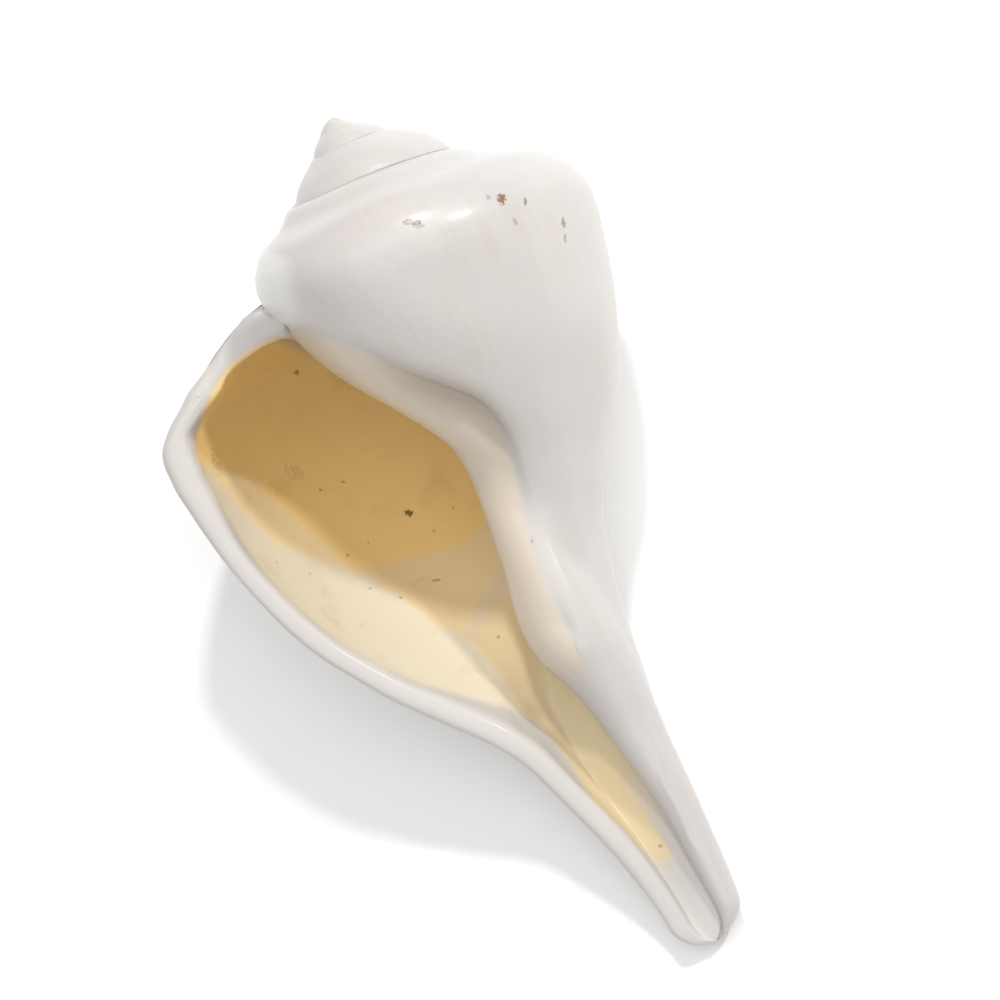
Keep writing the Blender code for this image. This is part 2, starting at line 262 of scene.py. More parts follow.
# %% Collect points, faces and what the finish has to know about them
COLUMNS_PER_TURN = 236
RAMP_ROWS, BODY_ROWS, TIP_ROWS = 38, 112, 12
LIP_STEPS = np.linspace(0, 1, 10) ** 2
LEAST_EDGE, MOST_EDGE = 0.004, 0.05
LEVEL_FROM = 50.0
CANAL_STEP, CANAL_STEPS = 0.0035, 43
CAVITY_STEP = 1 / 66
CROWDING, CROWDING_TURNS = 0.75, 0.08
APEX_DOME = 1.6
APEX_RINGS = [(0.9, 0.2), (0.72, 0.5), (0.55, 0.72), (0.38, 0.87), (0.2, 0.96)]


class Surface:
    """Points and faces collected grid by grid, with (turns, depth, inside) beside each."""

    def __init__(self):
        self.points, self.marks, self.faces, self.corners, self.count = [], [], [], [], 0

    def add(self, points, marks):
        """Keeps a grid of points and gives the same grid of their numbers."""
        shape = points.shape[:-1]
        self.points.append(points.reshape(-1, 3))
        self.marks.append(np.broadcast_to(marks, points.shape).reshape(-1, 3))
        numbers = np.arange(self.count, self.count + len(self.points[-1]))
        self.count += len(numbers)
        return numbers.reshape(shape)

    def skin(self, grid, marks):
        """Two triangles for each cell of a grid of point numbers."""
        for picked in ((0, 1, 2), (0, 2, 3)):
            for kept, values in ((self.faces, grid), (self.corners, marks)):
                cell = (values[:-1, :-1], values[1:, :-1], values[1:, 1:], values[:-1, 1:])
                corners = np.stack([cell[n] for n in picked], 2)
                kept.append(corners.reshape(-1, 3, *values.shape[2:]))

    def fan(self, ring, marks, centre):
        """Triangles from a ring of point numbers to one more point."""
        middle = self.add(centre[None], marks[0])[0]
        self.faces.append(np.stack([ring, np.roll(ring, -1), np.full_like(ring, middle)], -1))
        self.corners.append(np.stack([marks, np.roll(marks, -1, axis=0), marks], 1))

    def at(self, numbers):
        """The points and the marks that have these numbers."""
        return np.vstack(self.points)[numbers], np.vstack(self.marks)[numbers]


def mark(turns, depth, inside):
    """Turns, depth and inside as one array with three values a point."""
    return np.stack(np.broadcast_arrays(turns, depth, float(inside)), -1)


def row_depths():
    """Depths of the rows at the lip, from the suture to the tip."""
    ramp = np.linspace(SUTURE_DEPTH, COVERED, RAMP_ROWS + 1)[:-1]
    body = np.linspace(COVERED, TIP_ROUND_FROM, BODY_ROWS + 1)[:-1]
    quarter = np.sin(np.linspace(0, math.pi / 2, TIP_ROWS + 1))
    return np.concatenate([ramp, body, TIP_ROUND_FROM + (LENGTH - TIP_ROUND_FROM) * quarter])


def lip_width(depth):
    """The share of a turn that the lip's rounded edge takes: half the wall over the radius."""
    edge = wall_offset(0.0, depth) / outer_radius(0.0, depth) / (2 * math.pi)
    return np.clip(edge, LEAST_EDGE, MOST_EDGE)


def grid_turns(steps, depth):
    """Turns at each grid point: LIP_STEPS over the rounded lip, then the given steps."""
    width = lip_width(depth)
    return np.vstack([LIP_STEPS[:, None] * width, width + (1 - width) * steps[:, None]])


def suture_points(turns):
    """The suture lies on the whorl below it, one turn further back."""
    depth = SUTURE_DEPTH * shrink(turns)
    return on_spiral(turns + 1, outer_radius(turns + 1, depth), depth)


# %% [markdown]
# ## Outside: the last whorl, the spire and its top
#
# The last whorl runs from the lip once round to the inner edge of the opening. Each earlier
# whorl shows only the strip between its own suture and the next one, so its lower edge takes the
# points that the whorl below already has.

# %% The outside of the shell
def last_whorl(surface, rows):
    """Rows of constant growth on the body, which turn level round the canal."""
    turns = grid_turns(np.arange(1, COLUMNS_PER_TURN + 1) / COLUMNS_PER_TURN, rows)
    stretch = ease((rows - LEVEL_FROM) / (LENGTH - LEVEL_FROM))
    depth = rows * (shrink(turns) * (1 - stretch) + stretch)
    rounding = 1 - quarter_round(turns / lip_width(rows), LIP_SQUARENESS)
    radius = outer_radius(turns, depth) - wall_offset(turns, depth) * rounding
    radius[-1] = outer_radius(turns[-1], depth[-1])
    points, marks = on_spiral(turns, radius, depth), mark(turns, depth, 0)
    points[:, 0] = suture_points(turns[:, 0])
    grid = np.zeros(turns.shape, int)
    grid[:, :-1] = surface.add(points[:, :-1], marks[:, :-1])
    grid[:, -1] = surface.add(points[0, -1:], marks[0, -1:])[0]
    grid[0, 0] = grid[-1, RAMP_ROWS]
    surface.skin(grid, marks)
    return grid, turns[:, 0], depth[-1]


def spire(surface, rows, last, suture_turns):
    """The earlier whorls, each from its own suture down to the next."""
    steps = suture_turns[1:]
    upper, column, whorl = last[:, 0], last[-1, : RAMP_ROWS + 1], 1
    while True:
        columns = min(len(steps), round((SPIRE_TURNS - whorl) * len(steps)))
        turns = whorl + np.concatenate([[0], steps[:columns]])[:, None] * np.ones(RAMP_ROWS + 1)
        depth = rows[: RAMP_ROWS + 1] * shrink(turns)
        points, marks = on_spiral(turns, outer_radius(turns, depth), depth), mark(turns, depth, 0)
        points[:, 0] = suture_points(turns[:, 0])
        grid = np.zeros((columns + 1, RAMP_ROWS + 1), int)
        grid[0] = column
        grid[1:, :-1] = surface.add(points[1:, :-1], marks[1:, :-1])
        grid[1:, -1] = upper[1 : columns + 1]
        surface.skin(grid, marks)
        above = upper[columns:]
        upper, column = grid[:, 0], grid[-1]
        if columns < len(steps):
            return np.concatenate([above, upper[1:], column[1:-1]])
        whorl += 1


def close_apex(surface, ring):
    """A low dome over the top of the spire: rings that shrink as they rise."""
    edge, edge_marks = surface.at(ring)
    centre = edge.mean(0)
    for share, height in APEX_RINGS:
        inner = centre + (edge - centre) * share
        inner[:, 2] += APEX_DOME * height
        numbers = surface.add(inner, edge_marks)
        band = np.stack([ring, numbers])
        marks = np.stack([edge_marks, edge_marks])
        surface.skin(np.hstack([band, band[:, :1]]), np.hstack([marks, marks[:, :1]]))
        ring = numbers
    surface.fan(ring[::-1], edge_marks[::-1], centre + np.array([0, 0, APEX_DOME]))


# %% [markdown]
# ## Inside: the hollow
#
# The hollow between two whorls is what the wall leaves over. Each cross-section of it runs from
# a top to a bottom, with the wall of the last whorl on one side and the whorl before on the
# other. Both draw in to their middle line at the ends, which rounds them. It winds back out of
# sight and closes there.

# %% The hollow of the shell
def cavity_side(rows_share, far):
    """Points on the middle line of the gap, moved out by half of the gap to one side."""
    canal = np.arange(1, CANAL_STEPS + 1) * CANAL_STEP
    body = np.arange(canal[-1] + CAVITY_STEP, CAVITY_TURNS, CAVITY_STEP)
    lip_depth = SUTURE_DEPTH + (LENGTH - SUTURE_DEPTH) * rows_share
    turns = grid_turns(np.concatenate([canal, body]), lip_depth)
    scale = shrink(turns)
    low = np.where(turns <= 0.5, cavity_low(turns), CAVITY_LOW[-1][1] * shrink(turns - 0.5))
    drop = (CAVITY_TOP - SUTURE_DEPTH) * quarter_round(turns / CORNER_TURNS)
    top = (SUTURE_DEPTH + drop) * scale
    evenly = 0.5 * (1 - np.cos(math.pi * np.linspace(0, 1, len(rows_share))))
    share = rows_share + (evenly - rows_share) * CROWDING * ease(turns / CROWDING_TURNS)
    depth = top + (low - top) * share
    squareness = SQUARENESS + SQUARER_AT_LIP * (1 - ease(turns / SQUARE_TURNS))
    full = np.sqrt(np.clip(1 - np.abs(2 * share - 1) ** squareness, 0, 1))
    rounding = 1 + quarter_round(turns / lip_width(lip_depth), LIP_SQUARENESS)
    outside = outer_radius(turns, depth) - wall_offset(turns, depth) * rounding
    inside = outer_radius(turns + 1, depth)
    gap = np.maximum(outside - inside, LEAST_GAP * ease(turns / GAP_TURNS))
    side = 1 if far else -1
    points = on_spiral(turns, (outside + inside) / 2 + side * gap / 2 * full, depth)
    return points, mark(turns + (0 if far else 1), depth, 1 if far else 2)


def cavity(surface, rows, last, inner_depth):
    """The far wall joins the lip, the near wall joins the inner edge, and a fan closes the end."""
    outer_share = (rows - SUTURE_DEPTH) / (LENGTH - SUTURE_DEPTH)
    edge = inner_depth[RAMP_ROWS:]
    inner_share = (edge - edge[0]) / (edge[-1] - edge[0])
    outer_points, outer_marks = cavity_side(outer_share, True)
    inner_points, inner_marks = cavity_side(inner_share, False)
    outer = np.vstack([last[0], surface.add(outer_points[1:], outer_marks[1:])])
    inner = np.zeros(inner_points.shape[:2], int)
    inner[0] = last[-1, RAMP_ROWS:]
    inner[1:, 1:-1] = surface.add(inner_points[1:, 1:-1], inner_marks[1:, 1:-1])
    inner[:, 0] = outer[:, 0]
    inner[:, -1] = outer[:, -1]
    surface.skin(outer[::-1], outer_marks[::-1])
    surface.skin(inner, inner_marks)
    ring = np.concatenate([outer[-1], inner[-1, -2:0:-1]])
    ring_marks = np.vstack([outer_marks[-1], inner_marks[-1, -2:0:-1]])
    surface.fan(ring, ring_marks, surface.at(ring)[0].mean(0))


def shell_surface():
    """Points, (turns, depth, inside) at points, faces, and the same marks at their corners."""
    surface, rows = Surface(), row_depths()
    last, suture_turns, inner_depth = last_whorl(surface, rows)
    close_apex(surface, spire(surface, rows, last, suture_turns))
    cavity(surface, rows, last, inner_depth)
    faces, corners = np.vstack(surface.faces), np.vstack(surface.corners)
    flat = (faces == np.roll(faces, 1, axis=1)).any(axis=1)
    return np.vstack(surface.points), np.vstack(surface.marks), faces[~flat], corners[~flat]


points, marks, faces, corner_marks = shell_surface()
turns_at, depth_at, inside_at = marks.T
# The depth that each point's row has at the lip
ratio_at = depth_at / shrink(turns_at)
print("shell surface:", len(points), "points,", len(faces), "triangles")

# %% [markdown]
# ## Forms that are drawn on the surface
#
# A worn shell has forms that no growth law gives: the hollow beside the inner lip, the scar that
# runs down the pillar, the glaze round the opening. They are drawn as lines in the picture and
# turned to millimetres in the plane through the axis. Every point of the surface is moved along
# the camera's line of sight to that plane. There the nearest place on a line is found, with how
# far across it and how far along it that is.

# %% Lines in the picture, and distances from them
PICTURE_TOP = np.array([322.2, 119.3])
PICTURE_SCALE = 6.0
AXIS_LEAN = math.radians(28.3)
LEAN_SIN, LEAN_COS = math.sin(AXIS_LEAN), math.cos(AXIS_LEAN)
LOOK_AT = np.array([-4.0, 0.0, -69.9])
CAMERA_AWAY = 1500.0
# How directly a point has to face the picture, or turn its back on it, to count
FACING_SHORT, FACING_OVER = 0.15, 0.3

# The lip's top comes forward to the body, in mm: across x, down the axis, near the lip's plane
MARGIN_FROM, MARGIN_OVER, MARGIN_TO, MARGIN_END = -34.0, 12.0, -20.8, 1.5
MARGIN_TOP, MARGIN_LOW, MARGIN_FADE = 22.2, 30.5, 2.5
MARGIN_DEEP, MARGIN_DEEP_FADE = 2.4, 1.2
MARGIN_FORWARD, MARGIN_ASIDE = 10.5, 0.07


def from_picture(pixels):
    """Pixels to (x, depth) in mm: moved to the top of the spire, turned upright and scaled."""
    across, down = ((np.array(pixels, float) - PICTURE_TOP) / PICTURE_SCALE).T
    return np.stack([across * LEAN_COS - down * LEAN_SIN, across * LEAN_SIN + down * LEAN_COS], -1)


def seen(points):
    """(x, depth) where the line of sight to each point meets the plane through the axis."""
    nearer = CAMERA_AWAY / (CAMERA_AWAY + points[:, 1:2])
    moved = LOOK_AT + (points - LOOK_AT) * nearer
    return np.stack([moved[:, 0], -moved[:, 2]], -1)


def along(pixels, places):
    """Distance from a line, above 0 on the right of its direction, and the share along it."""
    line = smooth_curve(from_picture(pixels), 6)
    start, step = line[:-1], np.diff(line, axis=0)
    offset = places[:, None] - start
    share = np.clip((offset * step).sum(-1) / (step**2).sum(-1), 0, 1)
    nearest = offset - share[..., None] * step
    best = (nearest**2).sum(-1).argmin(1)
    pick = np.arange(len(places))
    side = np.sign(step[best, 0] * offset[pick, best, 1] - step[best, 1] * offset[pick, best, 0])
    distance = np.linalg.norm(nearest[pick, best], axis=-1)
    return side * distance, (best + share[pick, best]) / len(step)


def fade_ends(share, start, end):
    """1 along a line, falling to 0 over these shares of it at its start and at its end."""
    return ease(share / start) * ease((1 - share) / end)


def normals_of(vertices, triangles):
    """Sum of the triangles' own normals at each point, made one long."""
    a, b, c = (vertices[triangles[:, n]] for n in range(3))
    flat = np.cross(b - a, c - a)
    summed = np.stack([sum(np.bincount(triangles[:, n], flat[:, k], len(vertices))
                           for n in range(3)) for k in range(3)], -1)
    return summed / np.maximum(np.linalg.norm(summed, axis=1, keepdims=True), 1e-12)


def margin():
    """How far the lip's top comes forward to the body: the square of the way across, faded."""
    x, y, _ = points.T
    at_lip = (inside_at > 0) | (turns_at < 0.5)
    across = np.clip((x - MARGIN_FROM) / MARGIN_OVER, 0, 1) ** 2
    ramp = across * ease((MARGIN_TO - x) / MARGIN_END)
    ramp *= at_lip * ease((MARGIN_DEEP - np.abs(y)) / MARGIN_DEEP_FADE)
    ramp *= ease((depth_at - MARGIN_TOP) / MARGIN_FADE)
    return MARGIN_FORWARD * ramp * ease((MARGIN_LOW - depth_at) / MARGIN_FADE)


def facing(way):
    """1 where the normal points this way along y, -1 towards the camera and 1 away from it."""
    return ease((way * normals[:, 1] + FACING_SHORT) / FACING_OVER)


forward = margin()
points[:, 1] -= forward
points[:, 0] += MARGIN_ASIDE * forward
normals = normals_of(points, faces)
places = seen(points)
outside = inside_at == 0
in_front = outside * facing(-1) * (turns_at > 0.4)
behind = (inside_at == 1) * facing(1) * (turns_at > 0.6)
print("points that face the picture:", int((in_front > 0.5).sum()))

# %% [markdown]
# ## Relief
#
# Each form is a height in millimetres over the plain surface: a smooth hump or dip across a line,
# or waves along the spiral. Growth waves follow the lip, because each was the lip once. The sum
# is added along the surface's normal, and fades out where two grids share an edge.

# %% Heights of the forms
VALLEY = [(292, 336), (335, 344), (372, 362), (402, 381), (440, 396), (478, 413), (503, 445),
          (517, 490), (527, 530), (540, 570), (557, 610), (571, 638)]
VALLEY_DEPTH = reader([(0, 0.2), (0.12, 0.6), (0.3, 1.7), (0.45, 2.4), (0.58, 1.0), (0.7, 0.15),
                       (0.85, 0.1), (0.95, 0.6), (1, 0.3)])
VALLEY_UP, VALLEY_DOWN = 2.6, 5.0
SCAR = [(640, 700), (653, 739), (659, 754), (664, 784), (676, 805), (692, 843), (702, 856)]
SCAR_HEIGHT, SCAR_WIDTH, SCAR_GROOVE, SCAR_ENDS = 0.15, 1.1, 0.9, 0.15
GLAZE_EDGE = [(291, 255), (288, 270), (294, 293), (299, 318), (297, 334)]
GLAZE_HEIGHT, GLAZE_WIDTH, GLAZE_ENDS = 0.25, 1.6, 0.2
GLAZE_REACH, GLAZE_FADE = 9.0, 5.0
# (depth as it is at the lip, how wide, how high), and the turns by which it is worn away
SULCUS = [(26.5, 4.0, -1.2), (32.0, 3.4, 0.5)]
SULCUS_TO, SULCUS_FADE = 1.6, 0.6
# (x, up) of the side that is moved, its depth, over how many mm, by how many mm
TRIMS = [((0.69, 0.72), 11.0, 11.0, 1.2), ((1.0, 0.0), 82.0, 24.0, -0.9)]
TRIM_FROM, TRIM_OVER = 0.2, 0.6
# (waves in a turn, where they start, height in mm), and what makes them come and go
GROWTH_WAVES = [(17.0, 0.3, 0.05), (29.0, 1.7, 0.045), (41.0, 4.1, 0.035), (53.0, 2.2, 0.03)]
WAVE_RADIUS, WAVE_SHARE, WAVE_FULL_AT = 48.0, 0.45, 25.0
DRIFT_PER_TURN, DRIFT_PER_MM = 5.0, 0.07
# (direction and pace, start, height in mm)
LUMPS = [((0.21, 0.13, 0.17), 0.4, 0.12), ((-0.15, 0.26, 0.11), 2.0, 0.10),
         ((0.31, -0.22, 0.3), 1.1, 0.06)]
# How soon the relief starts below a suture, in mm, and ends at the apex, in turns
SUTURE_FADE, APEX_FADE, INSIDE_SHARE = 1.5, 0.3, 0.3
from_valley, along_valley = along(VALLEY, places)


def valley():
    """A dip along the inner lip, steep on the body's side. The wall behind gives way as well."""
    width = np.where(from_valley < 0, VALLEY_UP, VALLEY_DOWN)
    return -VALLEY_DEPTH(along_valley) * bump(from_valley / width) * (in_front - behind)


def scar():
    """A low rounded cord down the pillar, with a groove on its right."""
    across, share = along(SCAR, places)
    cord = bump(across / SCAR_WIDTH) - SCAR_GROOVE * bump((across + SCAR_WIDTH) / SCAR_WIDTH)
    return SCAR_HEIGHT * cord * fade_ends(share, SCAR_ENDS, SCAR_ENDS) * in_front


def glaze_over(width):
    """1 on the glaze by the lip. Its edge on the whorl before is this wide each way."""
    across, share = along(GLAZE_EDGE, places)
    near = ease((across + width) / (2 * width)) * ease((GLAZE_REACH - across) / GLAZE_FADE)
    return near * in_front * fade_ends(share, GLAZE_ENDS, GLAZE_ENDS)


def sulcus():
    """A shallow channel under the suture with a soft ridge below it, on every whorl."""
    rings = sum(height * bump((ratio_at - ratio) / width) for ratio, width, height in SULCUS)
    return rings * shrink(turns_at) * outside * ease((SULCUS_TO - turns_at) / SULCUS_FADE)


def girth():
    """How far the outside is from the axis, as a share: fine patterns fade with it."""
    return outside * np.hypot(points[:, 0], points[:, 1]) / WAVE_RADIUS


def growth_waves():
    """Uneven waves in turns, stronger on the body than on the worn spire."""
    waves = sum(size * np.sin(2 * math.pi * count * turns_at + start)
                for count, start, size in GROWTH_WAVES)
    drift = 0.5 + 0.5 * np.sin(DRIFT_PER_TURN * turns_at + DRIFT_PER_MM * depth_at)
    return waves * drift * WAVE_SHARE * girth() * ease(depth_at / WAVE_FULL_AT)


def trims():
    """Fills or thins one side of the shell, in a smooth hump over the depth."""
    sides = normals[:, [0, 2]]
    return outside * sum(size * ease((sides @ np.array(way) - TRIM_FROM) / TRIM_OVER)
                         * bump((depth_at - depth) / over) for way, depth, over, size in TRIMS)


def lumps():
    """Broad unevenness: a few sine waves that run in different directions."""
    return sum(size * np.sin(points @ np.array(way) + start) for way, start, size in LUMPS)


suture_fade = ease((ratio_at - SUTURE_DEPTH) / SUTURE_FADE)
edge_fade = np.where(outside, suture_fade, np.maximum(behind, INSIDE_SHARE))
spire_fade = ease((SPIRE_TURNS - turns_at) / APEX_FADE)
drawn = valley() + scar() + GLAZE_HEIGHT * glaze_over(GLAZE_WIDTH)
relief = (drawn + sulcus() + growth_waves() + lumps()) * edge_fade * spire_fade + trims()
points = points + normals * relief[:, None]
print("relief from", round(float(relief.min()), 2), "to", round(float(relief.max()), 2), "mm")

# %% [markdown]
# ## Put the shell in its place
#
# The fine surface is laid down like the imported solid, with the same small worn flat to rest on,
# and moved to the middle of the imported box, on the floor. If it is a hair larger, it is shrunk.

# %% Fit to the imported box
WORN_FLAT = 0.4
laid = lay_down(points)
laid[:, 2] = np.maximum(laid[:, 2], laid[:, 2].min() + WORN_FLAT * MM)
low, high = laid.min(0), laid.max(0)
fit = min(1.0, float(((cad_high - cad_low) / (high - low)).min()))
middle = (low + high) / 2
base = np.array([middle[0], middle[1], low[2]])
cad_base = np.array([*(cad_low + cad_high)[:2] / 2, cad_low[2]])


def in_box(metres):
    """Points that are laid down already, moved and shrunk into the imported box."""
    return (metres - base) * fit + cad_base


def to_part(own_points):
    """Points in the shell's own frame, in millimetres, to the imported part's frame, in metres."""
    return in_box(lay_down(own_points))


print("shrunk to fit by", round(fit, 4))

# %% [markdown]
# ## Camera
#
# The picture looks straight into the opening, along the shell's own +Y, from far enough away
# that near and far parts keep their true sizes. The axis leans 28.3 degrees from the picture's
# vertical. The lens is then set so that a millimetre at the lip takes up six pixels.

# %% Place the camera
PICTURE_PIXELS = 1000
SENSOR = 36.0

# Right, up and out of the picture, in the shell's own frame
picture_axes = np.array([[LEAN_COS, 0, -LEAN_SIN], [LEAN_SIN, 0, LEAN_COS], [0, -1, 0]])


def add_object(name, data):
    """A new object at the origin, linked to the scene."""
    made = bpy.data.objects.new(name, data)
    bpy.context.scene.collection.objects.link(made)
    return made


def seen_from(right, up, back):
    """A place given by how far it is right of, above and in front of what the camera looks at."""
    return to_part(LOOK_AT + np.array([right, up, back]) @ picture_axes)


camera = add_object("camera", bpy.data.cameras.new("camera"))
camera.matrix_world = Matrix((LAID @ picture_axes.T).tolist()).to_4x4()
camera.location = seen_from(0, 0, CAMERA_AWAY)
camera.data.sensor_width = SENSOR
camera.data.lens = SENSOR * PICTURE_SCALE * CAMERA_AWAY / PICTURE_PIXELS
camera.data.clip_end = 10
bpy.context.scene.camera = camera
print("lens", round(camera.data.lens), "mm, from", CAMERA_AWAY, "mm away")

# %% [markdown]
# ## Table and light
#
# Two small panels above the picture's top edge are the main light. They throw two shadows of the
# body into the opening, so its wall shows three steps of brightness. A wide, weak panel over the
# camera, a white table and a bright room keep the shadows pale, as a white cove does.

# %% Floor, lights and room
FLOOR_SIZE = 4.0
FLOOR_COLOUR, FLOOR_ROUGHNESS = (0.93, 0.93, 0.93, 1), 0.8
# name: (right, up, towards the camera) in mm, size in m, watts, colour
LIGHTS = {
    "main_panel": ((330, 572, 683), 0.07, 3.5, (1.0, 0.985, 0.96)),
    "second_panel": ((-147, 690, 636), 0.07, 3.2, (1.0, 0.985, 0.96)),
    "wide_fill": ((-300, 50, 1300), 1.4, 7.4, (1.0, 0.99, 0.97)),
}
ROOM_COLOUR, ROOM_STRENGTH = (0.98, 0.99, 1.0, 1), 0.6


def new_material(name):
    """A material, and the shader that it starts with."""
    material = bpy.data.materials.new(name)
    material.use_nodes = True
    return material, material.node_tree.nodes["Principled BSDF"]


def make_floor():
    """A flat square table at the height that the shell rests on."""
    half, height = FLOOR_SIZE / 2, float(cad_low[2])
    corners = [(-half, -half), (half, -half), (half, half), (-half, half)]
    mesh = bpy.data.meshes.new("floor")
    mesh.from_pydata([(x, y, height) for x, y in corners], [], [(0, 1, 2, 3)])
    material, shader = new_material("white_table")
    shader.inputs["Base Color"].default_value = FLOOR_COLOUR
    shader.inputs["Roughness"].default_value = FLOOR_ROUGHNESS
    mesh.materials.append(material)
    floor = add_object("floor", mesh)


def make_light(name, spot, size, watts, colour):
    """A square panel that faces what the camera looks at."""
    data = bpy.data.lights.new(name, "AREA")
    data.size, data.energy, data.color = size, watts, colour
    light = add_object(name, data)
    light.location = seen_from(*spot)
    aim = light.location - Vector(seen_from(0, 0, 0))
    light.rotation_euler = aim.to_track_quat("Z", "Y").to_euler()


make_floor()
for light_name, light_values in LIGHTS.items():
    make_light(light_name, *light_values)
world = bpy.data.worlds.new("room")
world.use_nodes = True
background = world.node_tree.nodes["Background"]
background.inputs["Color"].default_value = ROOM_COLOUR
background.inputs["Strength"].default_value = ROOM_STRENGTH
bpy.context.scene.world = world
bpy.context.scene.view_settings.view_transform = "Standard"
print("lights:", ", ".join(LIGHTS))

# %% [markdown]
# ## Where each colour lies
#
# The outside is bleached white. The opening shows the shell's own colour: gold in the depth and
# pale yellow down the canal. Tan and cream nearer the lip are painted light: lighter copies of the
# gold where one or both main panels shine in, their borders on the panels' shadow edges. The peach
# band along the inner lip is painted warm light reflected from the gold, and the deepest stretch
# of the valley beside it gets painted shade. Each colour gets a mask, a number from 0 to 1 at
# every point. Its borders are again lines drawn in the picture, and fade over a millimetre or two.

# %% Masks at the points
GOLD_RIGHT = [(311, 362), (317, 370), (340, 387), (384, 410), (413, 429), (441, 457), (463, 488),
              (480, 516), (491, 544), (505, 578), (519, 617), (536, 651), (553, 682), (573, 716),
              (608, 768), (640, 808), (662, 838), (676, 866)]
GOLD_LEFT = [(345, 374), (320, 360), (296, 347), (272, 340), (244, 354), (224, 373), (207, 404),
             (196, 438), (198, 460), (213, 497), (241, 542), (272, 584), (306, 617), (356, 654),
             (413, 682), (469, 699), (528, 718), (560, 749), (568, 761), (592, 800), (623, 830),
             (658, 868)]
# Painted light: tan past the first edge and cream past the second, along two panels' shadow edges
SECOND_PANEL_SHADOW_EDGE = [(190, 458), (216, 466), (244, 477), (272, 500), (300, 522), (328, 544), (351, 567),
            (379, 568), (413, 558), (469, 544), (480, 528)]
MAIN_PANEL_SHADOW_EDGE = [(205, 470), (224, 488), (244, 511), (272, 539), (300, 553), (342, 567), (370, 578),
              (413, 606), (441, 626), (469, 640), (497, 668), (528, 718)]
# Painted highlight: a pale lit strip on the pillar's base in the opening, added to the cream
LIT_STREAK = [(512, 566), (505, 578), (490, 602), (469, 637), (462, 650)]
LIT_STREAK_WIDTH, LIT_STREAK_SHARE = 2.4, 0.7
LIT_STREAK_ENDS = 0.2, 0.3
DASHES = [(256, 300), (253, 308), (244, 326), (206, 386), (193, 404)]
# Where the gold has no border in the picture, because it is out of sight: in turns
HIDDEN_FAR_TURNS, HIDDEN_TURNS, HIDDEN_OVER = 0.14, 1.06, 0.03
# Widths of the borders in mm: gold by the inner lip, gold by the lip, and the painted light of tan
# and cream
GOLD_SOFT, RIM_INSET, RIM_SOFT, TAN_SOFT, CREAM_SOFT = 1.2, 0.5, 1.3, 1.4, 1.2
CANAL_FROM, CANAL_OVER = 104.0, 12.0
MOUTH_FROM, MOUTH_OVER = 76.0, 28.0
CANAL_END, CANAL_END_OVER = 135.4, 2.0
# Painted warm light reflected from the gold: the peach band along the inner lip
BOUNCE_SOFT, BOUNCE_REACH, BOUNCE_FADE, BOUNCE_LOW, BOUNCE_LOW_OVER = 1.6, 9.0, 4.0, 100.0, 6.0
GLAZE_SOFT, NO_DASH = 2.0, 9.0
# Painted shade in the deepest stretch of the valley by the inner lip
SHADE_ACROSS, SHADE_UP, SHADE_AT, SHADE_ALONG = 5.0, 0.6, 0.38, 0.28


def beside(pixels, over):
    """1 on the right of a drawn line, 0 on its left, and a smooth step over so many mm."""
    return ease(along(pixels, places)[0] / over + 0.5)


def inside_masks():
    """Gold on the walls of the hollow, tan and cream painted light on it, and yellow down the
    canal.
    """
    far, near = inside_at == 1, inside_at == 2
    near_hidden = ease((turns_at - HIDDEN_TURNS) / HIDDEN_OVER)
    far_hidden = ease((turns_at - HIDDEN_FAR_TURNS) / HIDDEN_OVER)
    within = ease((RIM_INSET - along(GOLD_LEFT, places)[0]) / RIM_SOFT)
    near_gold = near * np.maximum(beside(GOLD_RIGHT, GOLD_SOFT), near_hidden) * within
    far_gold = far * (turns_at > 0) * np.maximum(within, far_hidden)
    gold = (far_gold + near_gold) * (1 - ease((depth_at - CANAL_END) / CANAL_END_OVER))
    # Painted highlight: the pale lit strip
    across, share = along(LIT_STREAK, places)
    lit_streak = LIT_STREAK_SHARE * bump(across / LIT_STREAK_WIDTH) * fade_ends(share, *LIT_STREAK_ENDS)
    # Painted light: cream where both main panels shine in, tan where only the second one does
    below = beside(MAIN_PANEL_SHADOW_EDGE, CREAM_SOFT)
    mouth = ease((depth_at - MOUTH_FROM) / MOUTH_OVER) * (1 - below)
    canal = (far | near) * np.maximum(ease((depth_at - CANAL_FROM) / CANAL_OVER), mouth)
    return gold, beside(SECOND_PANEL_SHADOW_EDGE, TAN_SOFT), far * np.maximum(below, lit_streak), canal


def outside_masks():
    """The peach band of painted warm light along the inner lip, the glaze over the whorl before,
    and the dashes.
    """
    peach = (inside_at != 1) * ease(from_valley / BOUNCE_SOFT + 0.5)
    peach *= ease((BOUNCE_REACH - from_valley) / BOUNCE_FADE)
    peach *= (turns_at > 0.5) * (1 - ease((depth_at - BOUNCE_LOW) / BOUNCE_LOW_OVER))
    dash_from, dash_share = along(DASHES, places)
    dash_from = np.where(outside & (turns_at < 0.5), dash_from, NO_DASH)
    return peach, glaze_over(GLAZE_SOFT), dash_from, dash_share


def painted_hollow_shade():
    """Painted shade in the deepest stretch of the valley: a hump across it times a hump along it.
    """
    across = bump((from_valley + SHADE_UP) / SHADE_ACROSS)
    down = bump((along_valley - SHADE_AT) / SHADE_ALONG)
    return across * down * (inside_at != 1) * (turns_at > 0.5)


gold_at, lit_tan_at, lit_cream_at, canal_at = inside_masks()
painted_bounce_at, glaze_at, dash_from_at, dash_share_at = outside_masks()
hollow_shade_at = painted_hollow_shade()
print("gold over", int(gold_at.sum()), "points, cream over", int(lit_cream_at.sum()))

# %% [markdown]
# ## Spots and pits
#
# Small marks are finer than the mesh, so the material draws them, as balls of colour. The place
# of a ball is found from its pixel: of the points that the camera sees there, the nearest one
# gives how far away the surface is.

